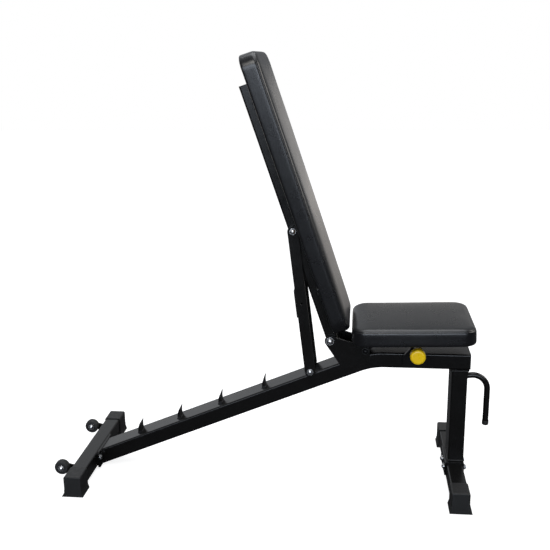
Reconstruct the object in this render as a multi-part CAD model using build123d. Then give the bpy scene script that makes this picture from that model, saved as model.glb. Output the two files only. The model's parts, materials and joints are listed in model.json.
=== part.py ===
from build123d import *
import math
import os

# Adjustable weight bench in millimetres. +X points to the seat end, +Z up, Y across the bench.
# The working origin is on the floor under the front foot; every node is shifted at export so that
# the part's origin is the centre of its whole box, on the floor.

# ---------------------------------------------------------------- driving dimensions
BEAM_W, BEAM_H, BEAM_WALL, BEAM_R = 80.0, 45.0, 2.5, 5.0
BEAM_FRONT_X, BEAM_LEVEL_Z = 31.0, 365.5
BEAM_BEND_X, BEAM_BEND_R, BEAM_SLOPE = -246.0, 200.0, 22.55

FOOT_LENGTH, FOOT_TUBE, FOOT_WALL, FOOT_TUBE_Z = 460.0, 45.0, 2.0, 14.0
REAR_FOOT_X, FRONT_FOOT_X = -1078.0, 0.0
CAP_OUT, CAP_LENGTH, CAP_END = 50.0, 60.0, 3.0
SOLE_H, SOLE_OUT, SOLE_IN = 13.0, 8.0, 4.0

END_PLATE_T, END_PLATE_HALF_Y, END_PLATE_Z0, END_PLATE_Z1 = 5.0, 66.0, 6.0, 58.0
REAR_BOLT_Y, REAR_BOLT_Z = 52.0, 36.0

POST_X, POST_W, POST_DEPTH, POST_WALL = 4.5, 45.0, 80.0, 2.5
SADDLE_T, SADDLE_HALF_Y, SADDLE_DROP, SADDLE_BOLT_Y, SADDLE_BOLT_Z = 5.0, 55.0, 36.0, 25.0, 37.0
FLANGE_T, FLANGE_OUT = 4.0, 4.0

HANDLE_R, HANDLE_BEND_R, HANDLE_X, HANDLE_TOP_Z, HANDLE_END_Z = 8.5, 42.0, 88.5, 319.5, 168.0
HANDLE_RISE, PLUG_T, PLUG_H, PLUG_OVER = 8.0, 1.0, 14.0, 7.0

WHEEL_X, WHEEL_Z, WHEEL_R, WHEEL_W, WHEEL_Y = -1137.0, 46.5, 21.0, 22.0, 141.0
BUSH_R, AXLE_R, RUN = 6.5, 4.0, 0.05
BRACKET_R, BRACKET_T, BRACKET_Z0, BRACKET_Z1 = 8.0, 4.0, 19.0, 47.0

TOOTH_X = (-931.0, -808.0, -683.0, -552.0)
TOOTH_W, TOOTH_H, TOOTH_ROOT, TOOTH_LEAN = 34.0, 29.5, 10.0, 19.5

BACK_ANGLE = 71.3
BACK_PIVOT = (-362.0, 420.0)
BACK_WIDTH_TOP, BACK_WIDTH_FOOT, BACK_PAD_S0, BACK_PAD_LENGTH = 278.0, 249.0, 31.0, 789.0
SPINE_W, SPINE_D, SPINE_WALL, SPINE_BACK_N, SPINE_S0, SPINE_S1 = 70.0, 32.0, 2.0, -10.0, -14.0, 745.0
BACK_SLEEVE_R, STRUT_SLEEVE_R = 7.5, 7.0
PLATE_T, BOARD_T, BOARD_INSET = 4.0, 12.0, 6.0
PAD_T, PAD_CORNER, PAD_EDGE, PAD_HEM = 48.0, 40.0, 14.0, 3.0

STRUT_S, STRUT_N = 332.7, 2.0
LEG_W, LEG_T, LEG_Y0 = 30.0, 5.0, 41.7
ROD_R, ROD_GAP, ROD_X = 7.0, 0.4, -174.0
BRACE_TOP, BRACE_LENGTH, BRACE_T = 168.0, 80.0, 3.0

HINGE_T = 5.0
SEAT_PIVOT = (-262.0, 393.0)
SEAT_SLOPE = 1.8
SEAT_REAR, SEAT_LENGTH, SEAT_WIDTH = -36.5, 337.0, 282.0
SEAT_BASE_Z = 44.0
SEAT_TUBE_W, SEAT_TUBE_H, SEAT_TUBE_X0, SEAT_TUBE_X1 = 40.0, 30.0, -13.0, 250.0
SEAT_TILT, SEAT_SLEEVE_R, SEAT_PIN_R = 6.5, 8.0, 4.0

PIN_X, PIN_Z, PIN_R = -119.5, 405.0, 5.0
QUADRANT_Y, QUADRANT_T, QUADRANT_HALF = -46.5, 4.0, 15.0
GUIDE_Y, GUIDE_T = -54.5, 5.0
BARREL_R, BARREL_BORE, BARREL_OUT = 9.0, 7.2, -90.5
KNOB_R, KNOB_Y0, KNOB_Y1 = 21.5, -122.0, -98.0
STEM_R, COLLAR_R, PLUNGER_IN = 4.0, 6.9, -37.5

# ---------------------------------------------------------------- derived places
slope = math.radians(BEAM_SLOPE)
BEAM_ALONG = Vector(math.cos(slope), 0, math.sin(slope))
BEAM_UP = Vector(-math.sin(slope), 0, math.cos(slope))
BEAM_CORNER = Vector(BEAM_BEND_X, 0, BEAM_LEVEL_Z)
REAR_TUBE_FRONT = REAR_FOOT_X + FOOT_TUBE / 2
BEAM_REAR_X = REAR_TUBE_FRONT + END_PLATE_T
FOOT_TOP = FOOT_TUBE_Z + FOOT_TUBE
BEAM_UNDER = BEAM_LEVEL_Z - BEAM_H / 2

lean = math.radians(BACK_ANGLE)
BACK_UP = Vector(-math.cos(lean), 0, math.sin(lean))
BACK_OUT = Vector(math.sin(lean), 0, math.cos(lean))
PIVOT = Vector(BACK_PIVOT[0], 0, BACK_PIVOT[1])
BACK_FRAME = Plane(origin=PIVOT, x_dir=BACK_OUT, z_dir=BACK_UP)

BEAM_FRAME = Plane(origin=BEAM_CORNER, x_dir=BEAM_ALONG, z_dir=BEAM_UP)
ROD = BEAM_CORNER + BEAM_ALONG * ROD_X + BEAM_UP * (BEAM_H / 2 + ROD_R + ROD_GAP)
STRUT_TOP = PIVOT + BACK_UP * STRUT_S + BACK_OUT * STRUT_N
STRUT_UP = (STRUT_TOP - ROD).normalized()
STRUT_LENGTH = (STRUT_TOP - ROD).length
STRUT_FRAME = Plane(origin=STRUT_TOP, x_dir=Vector(0, 1, 0).cross(STRUT_UP), z_dir=STRUT_UP)

SEAT_PIN = Vector(SEAT_PIVOT[0], 0, SEAT_PIVOT[1])
tilt = math.radians(SEAT_SLOPE)
SEAT_ALONG = Vector(math.cos(tilt), 0, math.sin(tilt))
SEAT_UP = Vector(-math.sin(tilt), 0, math.cos(tilt))
SEAT_FRAME = Plane(origin=SEAT_PIN, x_dir=SEAT_ALONG, z_dir=SEAT_UP)

SPINE_FRONT_N = SPINE_BACK_N + SPINE_D
BOARD_N = SPINE_FRONT_N + PLATE_T
PLATES_OUT = BEAM_W / 2 + HINGE_T
X_MIN = WHEEL_X - WHEEL_R
X_MAX = HANDLE_X + HANDLE_R + 1.0
SHIFT = Pos(-(X_MIN + X_MAX) / 2, 0, 0)
STANDING = Align.CENTER, Align.CENTER, Align.MIN


# ---------------------------------------------------------------- helpers
def block(x0, x1, y0, y1, z0, z1):
    """A box between two corners."""
    return Pos((x0 + x1) / 2, (y0 + y1) / 2, (z0 + z1) / 2) * Box(x1 - x0, y1 - y0, z1 - z0)


def rod_y(x, z, radius, y0, y1):
    """A cylinder along Y."""
    return Pos(x, (y0 + y1) / 2, z) * Rot(90, 0, 0) * Cylinder(radius, y1 - y0)


def rod_x(y, z, radius, x0, x1):
    """A cylinder along X."""
    return Pos((x0 + x1) / 2, y, z) * Rot(0, 90, 0) * Cylinder(radius, x1 - x0)


def ring_y(x, z, outer, inner, y0, y1):
    """A tube along Y."""
    return rod_y(x, z, outer, y0, y1) - rod_y(x, z, inner, y0 - 1, y1 + 1)


def plate_y(sketch, y0, y1):
    """A flat plate from an outline drawn in X and Z, between two Y planes."""
    return Pos(0, y1, 0) * extrude(Plane.XZ * sketch, amount=y1 - y0)


def tube(width, depth, radius, wall, length):
    """A rounded rectangular tube standing on the origin along Z."""
    outer = RectangleRounded(width, depth, radius)
    inner = RectangleRounded(width - 2 * wall, depth - 2 * wall, radius - wall / 2)
    return extrude(outer - inner, amount=length)


def hull_of(*circles):
    """The outline wrapped round circles given as (x, z, radius)."""
    edges = [edge for x, z, r in circles for edge in (Pos(x, z) * Circle(r)).edges()]
    return make_hull(edges)


def dome(radius, height):
    """A round screw head standing on the origin along Z."""
    ball = (radius**2 + height**2) / (2 * height)
    return Pos(0, 0, height - ball) * Sphere(ball) & Pos(0, 0, height / 2) * Cylinder(radius * 1.2, height)


def bolt_y(x, z, radius, near, far, head=1.0):
    """Bolt along Y with a domed head and washer at near, a washer and hex nut at far."""
    way = 1 if far > near else -1
    turn = Pos(x, near, z) * Rot(90 * way, 0, 0)
    washer_t = 1.6
    washer = Cylinder(radius * 2.3, washer_t, align=STANDING)
    top = turn * washer
    top += turn * Pos(0, 0, washer_t) * dome(radius * 1.9 * head, radius * 1.1)
    reach = abs(far - near) + washer_t + radius * 2.2
    stem = Pos(x, near, z) * Rot(-90 * way, 0, 0) * Cylinder(radius, reach, align=STANDING)
    back = Pos(x, far, z) * Rot(-90 * way, 0, 0)
    nut = extrude(RegularPolygon(radius * 1.85, 6), amount=radius * 1.6) - Cylinder(radius, 50)
    ring = washer - Cylinder(radius, 50)
    return [top + stem, back * ring, back * Pos(0, 0, washer_t) * nut]


def as_x(parts, y, z):
    """Turns bolts made along Y at the origin so that they run along X at y, z."""
    return [Pos(0, y, z) * Rot(0, 0, -90) * part for part in parts]


def screw(length, radius=3.0):
    """A pan-head screw standing on the origin, head below, shank up."""
    head = Pos(0, 0, -3) * Cylinder(radius * 1.9, 3, align=STANDING)
    socket = Pos(0, 0, -3) * Cylinder(radius * 0.9, 3.0)
    shank = Cylinder(radius, length, align=STANDING)
    return head - socket + shank


nodes = {}


def keep(name, *solids):
    """Files one sub-part, which may be several separate solids."""
    flat = [s for item in solids for s in (item if isinstance(item, (list, tuple)) else [item])]
    nodes[name] = flat


# ---------------------------------------------------------------- main frame
def main_beam():
    rear = BEAM_CORNER - BEAM_ALONG * ((BEAM_BEND_X - BEAM_REAR_X) / math.cos(slope) + BEAM_H)
    path = FilletPolyline(
        (BEAM_FRONT_X, 0, BEAM_LEVEL_Z), tuple(BEAM_CORNER), tuple(rear), radius=BEAM_BEND_R
    )
    start = Plane(origin=path @ 0, x_dir=(0, 1, 0), z_dir=path % 0)
    outer = RectangleRounded(BEAM_W, BEAM_H, BEAM_R)
    inner = RectangleRounded(BEAM_W - 2 * BEAM_WALL, BEAM_H - 2 * BEAM_WALL, BEAM_R - BEAM_WALL / 2)
    beam = sweep(start * outer, path=path) - sweep(start * inner, path=path)
    return beam - block(BEAM_REAR_X - 200, BEAM_REAR_X, -100, 100, -200, 300)


def beam_end_cap():
    wide, high = BEAM_W - 2 * BEAM_WALL, BEAM_H - 2 * BEAM_WALL
    turn = Pos(BEAM_FRONT_X, 0, BEAM_LEVEL_Z) * Rot(0, 90, 0)
    face = turn * extrude(RectangleRounded(BEAM_H, BEAM_W, BEAM_R), amount=2.5)
    plug = extrude(RectangleRounded(high, wide, BEAM_R - BEAM_WALL / 2), amount=12)
    plug = turn * Pos(0, 0, -12) * plug
    hollow = turn * Pos(0, 0, -13) * extrude(Rectangle(high - 5, wide - 5), amount=12)
    return face + plug - hollow


def ladder_tooth(x):
    """A fin across the beam that leans to the front, hollow on the side where the strut's rod sits."""
    base = BEAM_H / 2
    crest = (TOOTH_LEAN, TOOTH_H)
    lip = (TOOTH_LEAN + 1.2, TOOTH_H - 1.6)
    back = ThreePointArc((0, 0), (TOOTH_LEAN * 0.38, TOOTH_H * 0.56), crest)
    front = ThreePointArc(lip, (TOOTH_ROOT + 3.2, TOOTH_H * 0.44), (TOOTH_ROOT, 0))
    tip = Line(crest, lip)
    foot = Line((TOOTH_ROOT, 0), (0, 0))
    outline = make_face([back, tip, front, foot])
    along = (x - BEAM_BEND_X) / math.cos(slope)
    return BEAM_FRAME.location * Pos(along, 0, base) * plate_y(outline, -TOOTH_W / 2, TOOTH_W / 2)


def hinge_plate(side):
    """Side plate welded to the beam: it carries the backrest pivot and the seat pivot."""
    px, pz = BACK_PIVOT
    sx, sz = SEAT_PIVOT
    outline = hull_of((px, pz, 15), (sx, sz, 13), (-322, 348, 8), (-256, 364, 7))
    y0, y1 = sorted((side * BEAM_W / 2, side * PLATES_OUT))
    plate = plate_y(outline, y0, y1)
    return plate - rod_y(px, pz, 5 + RUN, y0 - 1, y1 + 1) - rod_y(sx, sz, SEAT_PIN_R + RUN, y0 - 1, y1 + 1)


def rear_end_plate():
    x0, x1 = REAR_TUBE_FRONT, BEAM_REAR_X
    plate = block(x0, x1, -END_PLATE_HALF_Y, END_PLATE_HALF_Y, END_PLATE_Z0, END_PLATE_Z1)
    plate = fillet(plate.edges().filter_by(Axis.X), 8)
    for side in (-1, 1):
        plate -= rod_x(side * REAR_BOLT_Y, REAR_BOLT_Z, 4, x0 - 1, x1 + 1)
    return plate


def foot_tube(x):
    length = FOOT_LENGTH - 2 * CAP_END
    body = tube(FOOT_TUBE, FOOT_TUBE, 4, FOOT_WALL, length)
    return Pos(x, length / 2, FOOT_TUBE_Z + FOOT_TUBE / 2) * Rot(90, 0, 0) * body


def foot_cap(x, side, outward):
    """Plastic sleeve over the tube's end with a flared sole; outward is the side that flares most."""
    centre_z = FOOT_TUBE_Z + FOOT_TUBE / 2
    end = side * FOOT_LENGTH / 2
    half = CAP_OUT / 2
    sleeve = extrude(RectangleRounded(CAP_OUT, CAP_OUT, 5), amount=CAP_LENGTH)
    sleeve = Pos(x, 0, centre_z) * Rot(90, 0, 0) * sleeve
    sleeve = Pos(0, end if side > 0 else end + CAP_LENGTH, 0) * sleeve
    rim = fillet(sleeve.faces().sort_by(Axis.Y)[-1 if side > 0 else 0].edges(), 2.5)
    wide, tight = (SOLE_OUT, SOLE_IN) if outward > 0 else (SOLE_IN, SOLE_OUT)
    outline = Polygon(
        (x - half, SOLE_H), (x - half - tight, 0), (x + half + wide, 0), (x + half, SOLE_H),
        (x + half, SOLE_H + 8), (x - half, SOLE_H + 8), align=None,
    )
    y0, y1 = sorted((end, end - side * CAP_LENGTH))
    sole = plate_y(outline, y0, y1)
    cap = rim + sole
    socket = Pos(x, 0, centre_z) * Rot(90, 0, 0) * extrude(
        RectangleRounded(FOOT_TUBE, FOOT_TUBE, 4), amount=CAP_LENGTH
    )
    inner_end = end - side * CAP_END
    socket = Pos(0, inner_end if side > 0 else inner_end + CAP_LENGTH, 0) * socket
    return cap - socket


def front_post():
    height = BEAM_UNDER - FLANGE_T - (FOOT_TOP + SADDLE_T)
    return Pos(POST_X, 0, FOOT_TOP + SADDLE_T) * tube(POST_W, POST_DEPTH, 5, POST_WALL, height)


def post_flange():
    half_x, half_y = POST_W / 2 + FLANGE_OUT, BEAM_W / 2
    plate = block(POST_X - half_x, POST_X + half_x, -half_y, half_y, BEAM_UNDER - FLANGE_T, BEAM_UNDER)
    return fillet(plate.edges().filter_by(Axis.Z), 4)


def post_saddle():
    """Inverted channel over the front foot tube."""
    half = FOOT_TUBE / 2
    outer = block(-half - SADDLE_T, half + SADDLE_T, -SADDLE_HALF_Y, SADDLE_HALF_Y,
                  FOOT_TOP - SADDLE_DROP, FOOT_TOP + SADDLE_T)
    outer = fillet(outer.edges().filter_by(Axis.Y).sort_by(Axis.Z)[-2:], 4)
    saddle = outer - block(-half, half, -200, 200, 0, FOOT_TOP)
    for side in (-1, 1):
        saddle -= rod_x(side * SADDLE_BOLT_Y, SADDLE_BOLT_Z, 4, -60, 60)
    return saddle


def carry_handle():
    start_x = POST_X + POST_W / 2
    path = FilletPolyline(
        (start_x, 0, HANDLE_TOP_Z - HANDLE_RISE), (HANDLE_X, 0, HANDLE_TOP_Z), (HANDLE_X, 0, HANDLE_END_Z),
        radius=HANDLE_BEND_R,
    )
    start = Plane(origin=path @ 0, z_dir=path % 0)
    rod = sweep(start * Circle(HANDLE_R), path=path)
    return rod - block(start_x - 20, start_x, -20, 20, 280, 340)


def handle_plug():
    plug = Pos(HANDLE_X, 0, HANDLE_END_Z - PLUG_OVER) * Cylinder(HANDLE_R + PLUG_T, PLUG_H, align=STANDING)
    plug = fillet(plug.edges().sort_by(Axis.Z)[0], 5)
    return plug - Pos(HANDLE_X, 0, HANDLE_END_Z) * Cylinder(HANDLE_R, PLUG_H, align=STANDING)


def drilled(shape, *holes):
    """Takes every hole out of a shape."""
    for hole in holes:
        shape -= hole
    return shape


keep("main_beam", main_beam())
keep("beam_end_cap", beam_end_cap())
for number, x in enumerate(TOOTH_X, start=1):
    keep(f"ladder_tooth_{number}", ladder_tooth(x))
keep("hinge_plate_near", hinge_plate(-1))
keep("hinge_plate_far", hinge_plate(1))
keep("rear_end_plate", rear_end_plate())

rear_holes = [
    rod_x(side * REAR_BOLT_Y, REAR_BOLT_Z, 4, REAR_FOOT_X - 60, REAR_FOOT_X + 60) for side in (-1, 1)
]
saddle_holes = [rod_x(side * SADDLE_BOLT_Y, SADDLE_BOLT_Z, 4, -60, 60) for side in (-1, 1)]
keep("rear_foot_tube", drilled(foot_tube(REAR_FOOT_X), *rear_holes))
keep("front_foot_tube", drilled(foot_tube(FRONT_FOOT_X), *saddle_holes))
for place, x, outward in (("rear", REAR_FOOT_X, -1), ("front", FRONT_FOOT_X, 1)):
    for name, side in (("near", -1), ("far", 1)):
        keep(f"{place}_foot_cap_{name}", foot_cap(x, side, outward))
keep("front_post", front_post())
keep("post_flange", post_flange())
keep("post_saddle", post_saddle())
keep("carry_handle", carry_handle())
keep("handle_plug", handle_plug())

rear_bolts = []
for side in (-1, 1):
    bolt = bolt_y(0, 0, 4, BEAM_REAR_X, REAR_FOOT_X - FOOT_TUBE / 2)
    rear_bolts += as_x(bolt, side * REAR_BOLT_Y, REAR_BOLT_Z)
keep("rear_joint_bolts", rear_bolts)
saddle_bolts = []
for side in (-1, 1):
    saddle_out = FOOT_TUBE / 2 + SADDLE_T
    saddle_bolts += as_x(bolt_y(0, 0, 4, -saddle_out, saddle_out), side * SADDLE_BOLT_Y, SADDLE_BOLT_Z)
keep("saddle_bolts", saddle_bolts)


# ---------------------------------------------------------------- transport wheels
def wheel(y):
    """A solid tyre with rounded edges, dished faces and a bored hub."""
    half = WHEEL_W / 2 - 0.3
    body = rod_y(WHEEL_X, WHEEL_Z, WHEEL_R, y - half, y + half)
    body = fillet(body.edges().filter_by(GeomType.CIRCLE), 5)
    for side in (-1, 1):
        y0, y1 = sorted((y + side * (half - 2), y + side * (half + 1)))
        body -= ring_y(WHEEL_X, WHEEL_Z, 14, 9, y0, y1)
    return body - rod_y(WHEEL_X, WHEEL_Z, BUSH_R, y - 20, y + 20)


def wheel_bush(y):
    half = WHEEL_W / 2 - 0.3
    return ring_y(WHEEL_X, WHEEL_Z, BUSH_R, AXLE_R + RUN, y - half, y + half)


def wheel_bracket(y):
    """Lug welded to the back of the rear foot tube, on the far side of its wheel."""
    y0 = y + WHEEL_W / 2
    root = REAR_FOOT_X - FOOT_TUBE / 2
    outline = hull_of(
        (WHEEL_X, WHEEL_Z, BRACKET_R), (root - 3, BRACKET_Z1 - 3, 3), (root - 3, BRACKET_Z0 + 3, 3)
    )
    square = Pos(root - 1.5, (BRACKET_Z0 + BRACKET_Z1) / 2) * Rectangle(3, BRACKET_Z1 - BRACKET_Z0)
    hole = rod_y(WHEEL_X, WHEEL_Z, AXLE_R, y0 - 1, y0 + BRACKET_T + 1)
    return plate_y(outline + square, y0, y0 + BRACKET_T) - hole


axles = []
for name, side in (("near", -1), ("far", 1)):
    y = side * WHEEL_Y
    keep(f"wheel_{name}", wheel(y))
    keep(f"wheel_bush_{name}", wheel_bush(y))
    keep(f"wheel_bracket_{name}", wheel_bracket(y))
    axles += bolt_y(WHEEL_X, WHEEL_Z, AXLE_R, y - WHEEL_W / 2, y + WHEEL_W / 2 + BRACKET_T, head=0.95)
keep("wheel_axle_bolts", axles)


# ---------------------------------------------------------------- backrest
def on_back(shape):
    return BACK_FRAME.location * shape


def back_spine():
    body = Pos((SPINE_BACK_N + SPINE_FRONT_N) / 2, 0, SPINE_S0)
    body = body * tube(SPINE_D, SPINE_W, 5, SPINE_WALL, SPINE_S1 - SPINE_S0)
    pivot = rod_y(0, 0, BACK_SLEEVE_R, -50, 50)
    strut = rod_y(STRUT_N, STRUT_S, STRUT_SLEEVE_R, -50, 50)
    return on_back(body - pivot - strut)


def spine_cap(s, way):
    """Plastic plug in an open end of the spine."""
    inside = SPINE_D - 2 * SPINE_WALL, SPINE_W - 2 * SPINE_WALL
    centre = (SPINE_BACK_N + SPINE_FRONT_N) / 2
    face = extrude(RectangleRounded(SPINE_D, SPINE_W, 5), amount=2.5)
    plug = Pos(0, 0, -4) * extrude(RectangleRounded(inside[0], inside[1], 4), amount=4)
    flip = Rot(0, 0, 0) if way > 0 else Rot(180, 0, 0)
    return on_back(Pos(centre, 0, s) * flip * (face + plug))


def pad_outline(length, width, width_end, inset=0.0):
    """Rounded outline of a pad: width across the end at -X, width_end across the end at +X."""
    x, y0, y1 = length / 2 - inset, width / 2 - inset, width_end / 2 - inset
    corners = Polygon((-x, -y0), (x, -y1), (x, y1), (-x, y0), align=None)
    return fillet(corners.vertices(), PAD_CORNER - inset)


def cushion(length, width, width_end):
    """Foam and cover over the board: open pocket below for the board."""
    body = extrude(pad_outline(length, width, width_end), amount=PAD_T)
    body = fillet(body.faces().sort_by(Axis.Z)[-1].edges(), PAD_EDGE)
    body = fillet(body.faces().sort_by(Axis.Z)[0].edges(), PAD_HEM)
    pocket = Pos(0, 0, -1) * extrude(pad_outline(length, width, width_end, BOARD_INSET), amount=BOARD_T + 1)
    return body - pocket


# Local frames in which a board lies flat: its Z is the outward normal and its X runs along the pad.
BACK_BOARD = BACK_FRAME.location * Pos(BOARD_N, 0, BACK_PAD_S0 + BACK_PAD_LENGTH / 2) * Rot(0, 90, 0)
SEAT_BOARD = SEAT_FRAME.location * Pos(SEAT_REAR + SEAT_LENGTH / 2, 0, SEAT_BASE_Z)


def cross_plates(where, places, reach, hole_y):
    """Steel straps across the spine, under the board, drilled for the pad screws."""
    straps = []
    for x in places:
        strap = block(x - 20, x + 20, -reach, reach, -PLATE_T, 0)
        strap = fillet(strap.edges().filter_by(Axis.Z), 6)
        for y in (-hole_y, hole_y):
            strap -= Pos(x, y, 0) * Cylinder(3, 50)
        straps.append(where * strap)
    return straps


def pad_screws(where, places, hole_y):
    return [where * Pos(x, y, -PLATE_T) * screw(PLATE_T + 9) for x in places for y in (-hole_y, hole_y)]


def drilled_board(where, places, outline, hole_y):
    body = extrude(outline, amount=BOARD_T)
    for x in places:
        for y in (-hole_y, hole_y):
            body -= Pos(x, y, 0) * Cylinder(3, 18)
    return where * body


BACK_STRAPS, BACK_STRAP_Y, BACK_HOLE_Y = (-270.0, 20.0, 270.0), 112.0, 95.0
SEAT_STRAPS, SEAT_STRAP_Y, SEAT_HOLE_Y = (-95.0, 95.0), 110.0, 90.0
BACK_SHAPE = BACK_PAD_LENGTH, BACK_WIDTH_TOP, BACK_WIDTH_FOOT
SEAT_SHAPE = SEAT_LENGTH, SEAT_WIDTH, SEAT_WIDTH

keep("back_spine", back_spine())
keep("spine_cap_top", spine_cap(SPINE_S1, 1))
keep("spine_cap_bottom", spine_cap(SPINE_S0, -1))
keep("back_straps", cross_plates(BACK_BOARD, BACK_STRAPS, BACK_STRAP_Y, BACK_HOLE_Y))
back_outline = pad_outline(*BACK_SHAPE, BOARD_INSET)
keep("back_board", drilled_board(BACK_BOARD, BACK_STRAPS, back_outline, BACK_HOLE_Y))
keep("back_screws", pad_screws(BACK_BOARD, BACK_STRAPS, BACK_HOLE_Y))
keep("back_pad", BACK_BOARD * cushion(*BACK_SHAPE))

wall_in = SPINE_W / 2
keep("back_pivot_sleeve", on_back(ring_y(0, 0, BACK_SLEEVE_R, 5 + RUN, -wall_in, wall_in)))
keep("strut_pivot_sleeve", on_back(ring_y(STRUT_N, STRUT_S, STRUT_SLEEVE_R, 4, -wall_in, wall_in)))
px, pz = BACK_PIVOT
back_washers = [
    ring_y(px, pz, 11, 5, *sorted((side * (wall_in + 0.1), side * BEAM_W / 2))) for side in (-1, 1)
]
keep("back_pivot_bolt", bolt_y(px, pz, 5, -PLATES_OUT, PLATES_OUT), back_washers)


# ---------------------------------------------------------------- support strut
def on_strut(shape):
    return STRUT_FRAME.location * shape


def strut_leg(side):
    """Flat bar with round ends from the backrest to the ladder."""
    outline = hull_of((0, 0, LEG_W / 2), (0, -STRUT_LENGTH, LEG_W / 2))
    y0, y1 = sorted((side * LEG_Y0, side * (LEG_Y0 + LEG_T)))
    leg = plate_y(outline, y0, y1)
    leg -= rod_y(0, 0, 4 + RUN, y0 - 1, y1 + 1)
    leg -= rod_y(0, -STRUT_LENGTH, 4, y0 - 1, y1 + 1)
    return on_strut(leg - rod_y(0, -BRACE_TOP - BRACE_LENGTH / 2, 3.5, y0 - 1, y1 + 1))


def strut_brace():
    back = -LEG_W / 2
    reach = LEG_Y0 + LEG_T
    plate = block(back - BRACE_T, back, -reach, reach, -BRACE_TOP - BRACE_LENGTH, -BRACE_TOP)
    return on_strut(fillet(plate.edges().filter_by(Axis.X), 4))


def strut_rod():
    tube_rod = rod_y(0, -STRUT_LENGTH, ROD_R, -LEG_Y0, LEG_Y0)
    return on_strut(tube_rod - rod_y(0, -STRUT_LENGTH, 4, -LEG_Y0 - 1, LEG_Y0 + 1))


strut_out = LEG_Y0 + LEG_T
keep("strut_leg_near", strut_leg(-1))
keep("strut_leg_far", strut_leg(1))
keep("strut_brace", strut_brace())
keep("strut_rod", strut_rod())
keep("strut_foot_bolt", [on_strut(p) for p in bolt_y(0, -STRUT_LENGTH, 4, -strut_out, strut_out)])
strut_washers = [
    on_strut(ring_y(0, 0, 9, 4, *sorted((side * wall_in, side * (LEG_Y0 - 0.1))))) for side in (-1, 1)
]
pivot_bolt = [on_strut(p) for p in bolt_y(0, 0, 4, -strut_out - 0.1, strut_out + 0.1)]
keep("strut_pivot_bolt", pivot_bolt, strut_washers)


# ---------------------------------------------------------------- seat
def on_seat(shape):
    return SEAT_FRAME.location * shape


def seat_spine():
    z0 = SEAT_BASE_Z - PLATE_T - SEAT_TUBE_H
    body = tube(SEAT_TUBE_H, SEAT_TUBE_W, 4, SPINE_WALL, SEAT_TUBE_X1 - SEAT_TUBE_X0)
    return on_seat(Pos(SEAT_TUBE_X0, 0, z0 + SEAT_TUBE_H / 2) * Rot(0, 90, 0) * body)


def seat_lugs():
    """Two side lugs that hang from the seat tube and hold the pivot sleeve."""
    lugs = []
    high, low = SEAT_BASE_Z - 11, SEAT_BASE_Z - 25
    outline = hull_of((0, 0, 10), (-8, high, 4), (34, high, 4), (34, low, 4))
    for side in (-1, 1):
        y0, y1 = sorted((side * SEAT_TUBE_W / 2, side * (SEAT_TUBE_W / 2 + 5)))
        lugs.append(on_seat(plate_y(outline, y0, y1) - rod_y(0, 0, SEAT_SLEEVE_R, y0 - 1, y1 + 1)))
    return lugs


def seat_quadrant():
    """Plate that drops beside the beam, with an arc slot about the seat pivot for the locking pin."""
    sx, sz = SEAT_PIVOT
    radius = math.hypot(PIN_X - sx, PIN_Z - sz)
    start = math.degrees(math.atan2(PIN_Z - sz, PIN_X - sx))
    hub = Pos(sx, sz)
    band = hub * (Circle(radius + QUADRANT_HALF) - Circle(radius - QUADRANT_HALF))
    low, high = math.radians(start - SEAT_TILT - 7), math.radians(start + 11)
    far = 400
    wedge = Polygon(
        (sx, sz), (sx + far * math.cos(low), sz + far * math.sin(low)),
        (sx + far * math.cos(high), sz + far * math.sin(high)), align=None,
    )
    outline = band & wedge
    top = sz + SEAT_BASE_Z - 2
    outline += Pos(PIN_X - 5, (top + 420) / 2) * Rectangle(27, top - 420)
    slot_low, slot_high = start - SEAT_TILT - 0.15, start + 0.15
    sweep_deg = slot_high - slot_low
    slot_half = PIN_R + 0.2
    slot = hub * (Circle(radius + slot_half) - Circle(radius - slot_half))
    a, b = math.radians(slot_low), math.radians(slot_high)
    slot &= Polygon(
        (sx, sz), (sx + far * math.cos(a), sz + far * math.sin(a)),
        (sx + far * math.cos(b), sz + far * math.sin(b)), align=None,
    )
    for angle in (a, a + math.radians(sweep_deg / 2), b):
        slot += Pos(sx + radius * math.cos(angle), sz + radius * math.sin(angle)) * Circle(slot_half)
    plate = plate_y(outline - slot, QUADRANT_Y, QUADRANT_Y + QUADRANT_T)
    tab = block(PIN_X - 18, PIN_X + 8, QUADRANT_Y + QUADRANT_T, -SEAT_TUBE_W / 2, top - 5, top)
    return plate + tab


keep("seat_spine", seat_spine())
keep("seat_lugs", seat_lugs())
sleeve_half = BEAM_W / 2 - 0.5
seat_outline = pad_outline(*SEAT_SHAPE, BOARD_INSET)
keep("seat_pivot_sleeve", on_seat(ring_y(0, 0, SEAT_SLEEVE_R, SEAT_PIN_R + RUN, -sleeve_half, sleeve_half)))
keep("seat_straps", cross_plates(SEAT_BOARD, SEAT_STRAPS, SEAT_STRAP_Y, SEAT_HOLE_Y))
keep("seat_board", drilled_board(SEAT_BOARD, SEAT_STRAPS, seat_outline, SEAT_HOLE_Y))
keep("seat_screws", pad_screws(SEAT_BOARD, SEAT_STRAPS, SEAT_HOLE_Y))
keep("seat_pad", SEAT_BOARD * cushion(*SEAT_SHAPE))
keep("seat_quadrant", seat_quadrant())
sx, sz = SEAT_PIVOT
keep("seat_pivot_bolt", bolt_y(sx, sz, SEAT_PIN_R, -PLATES_OUT, PLATES_OUT))


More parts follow.
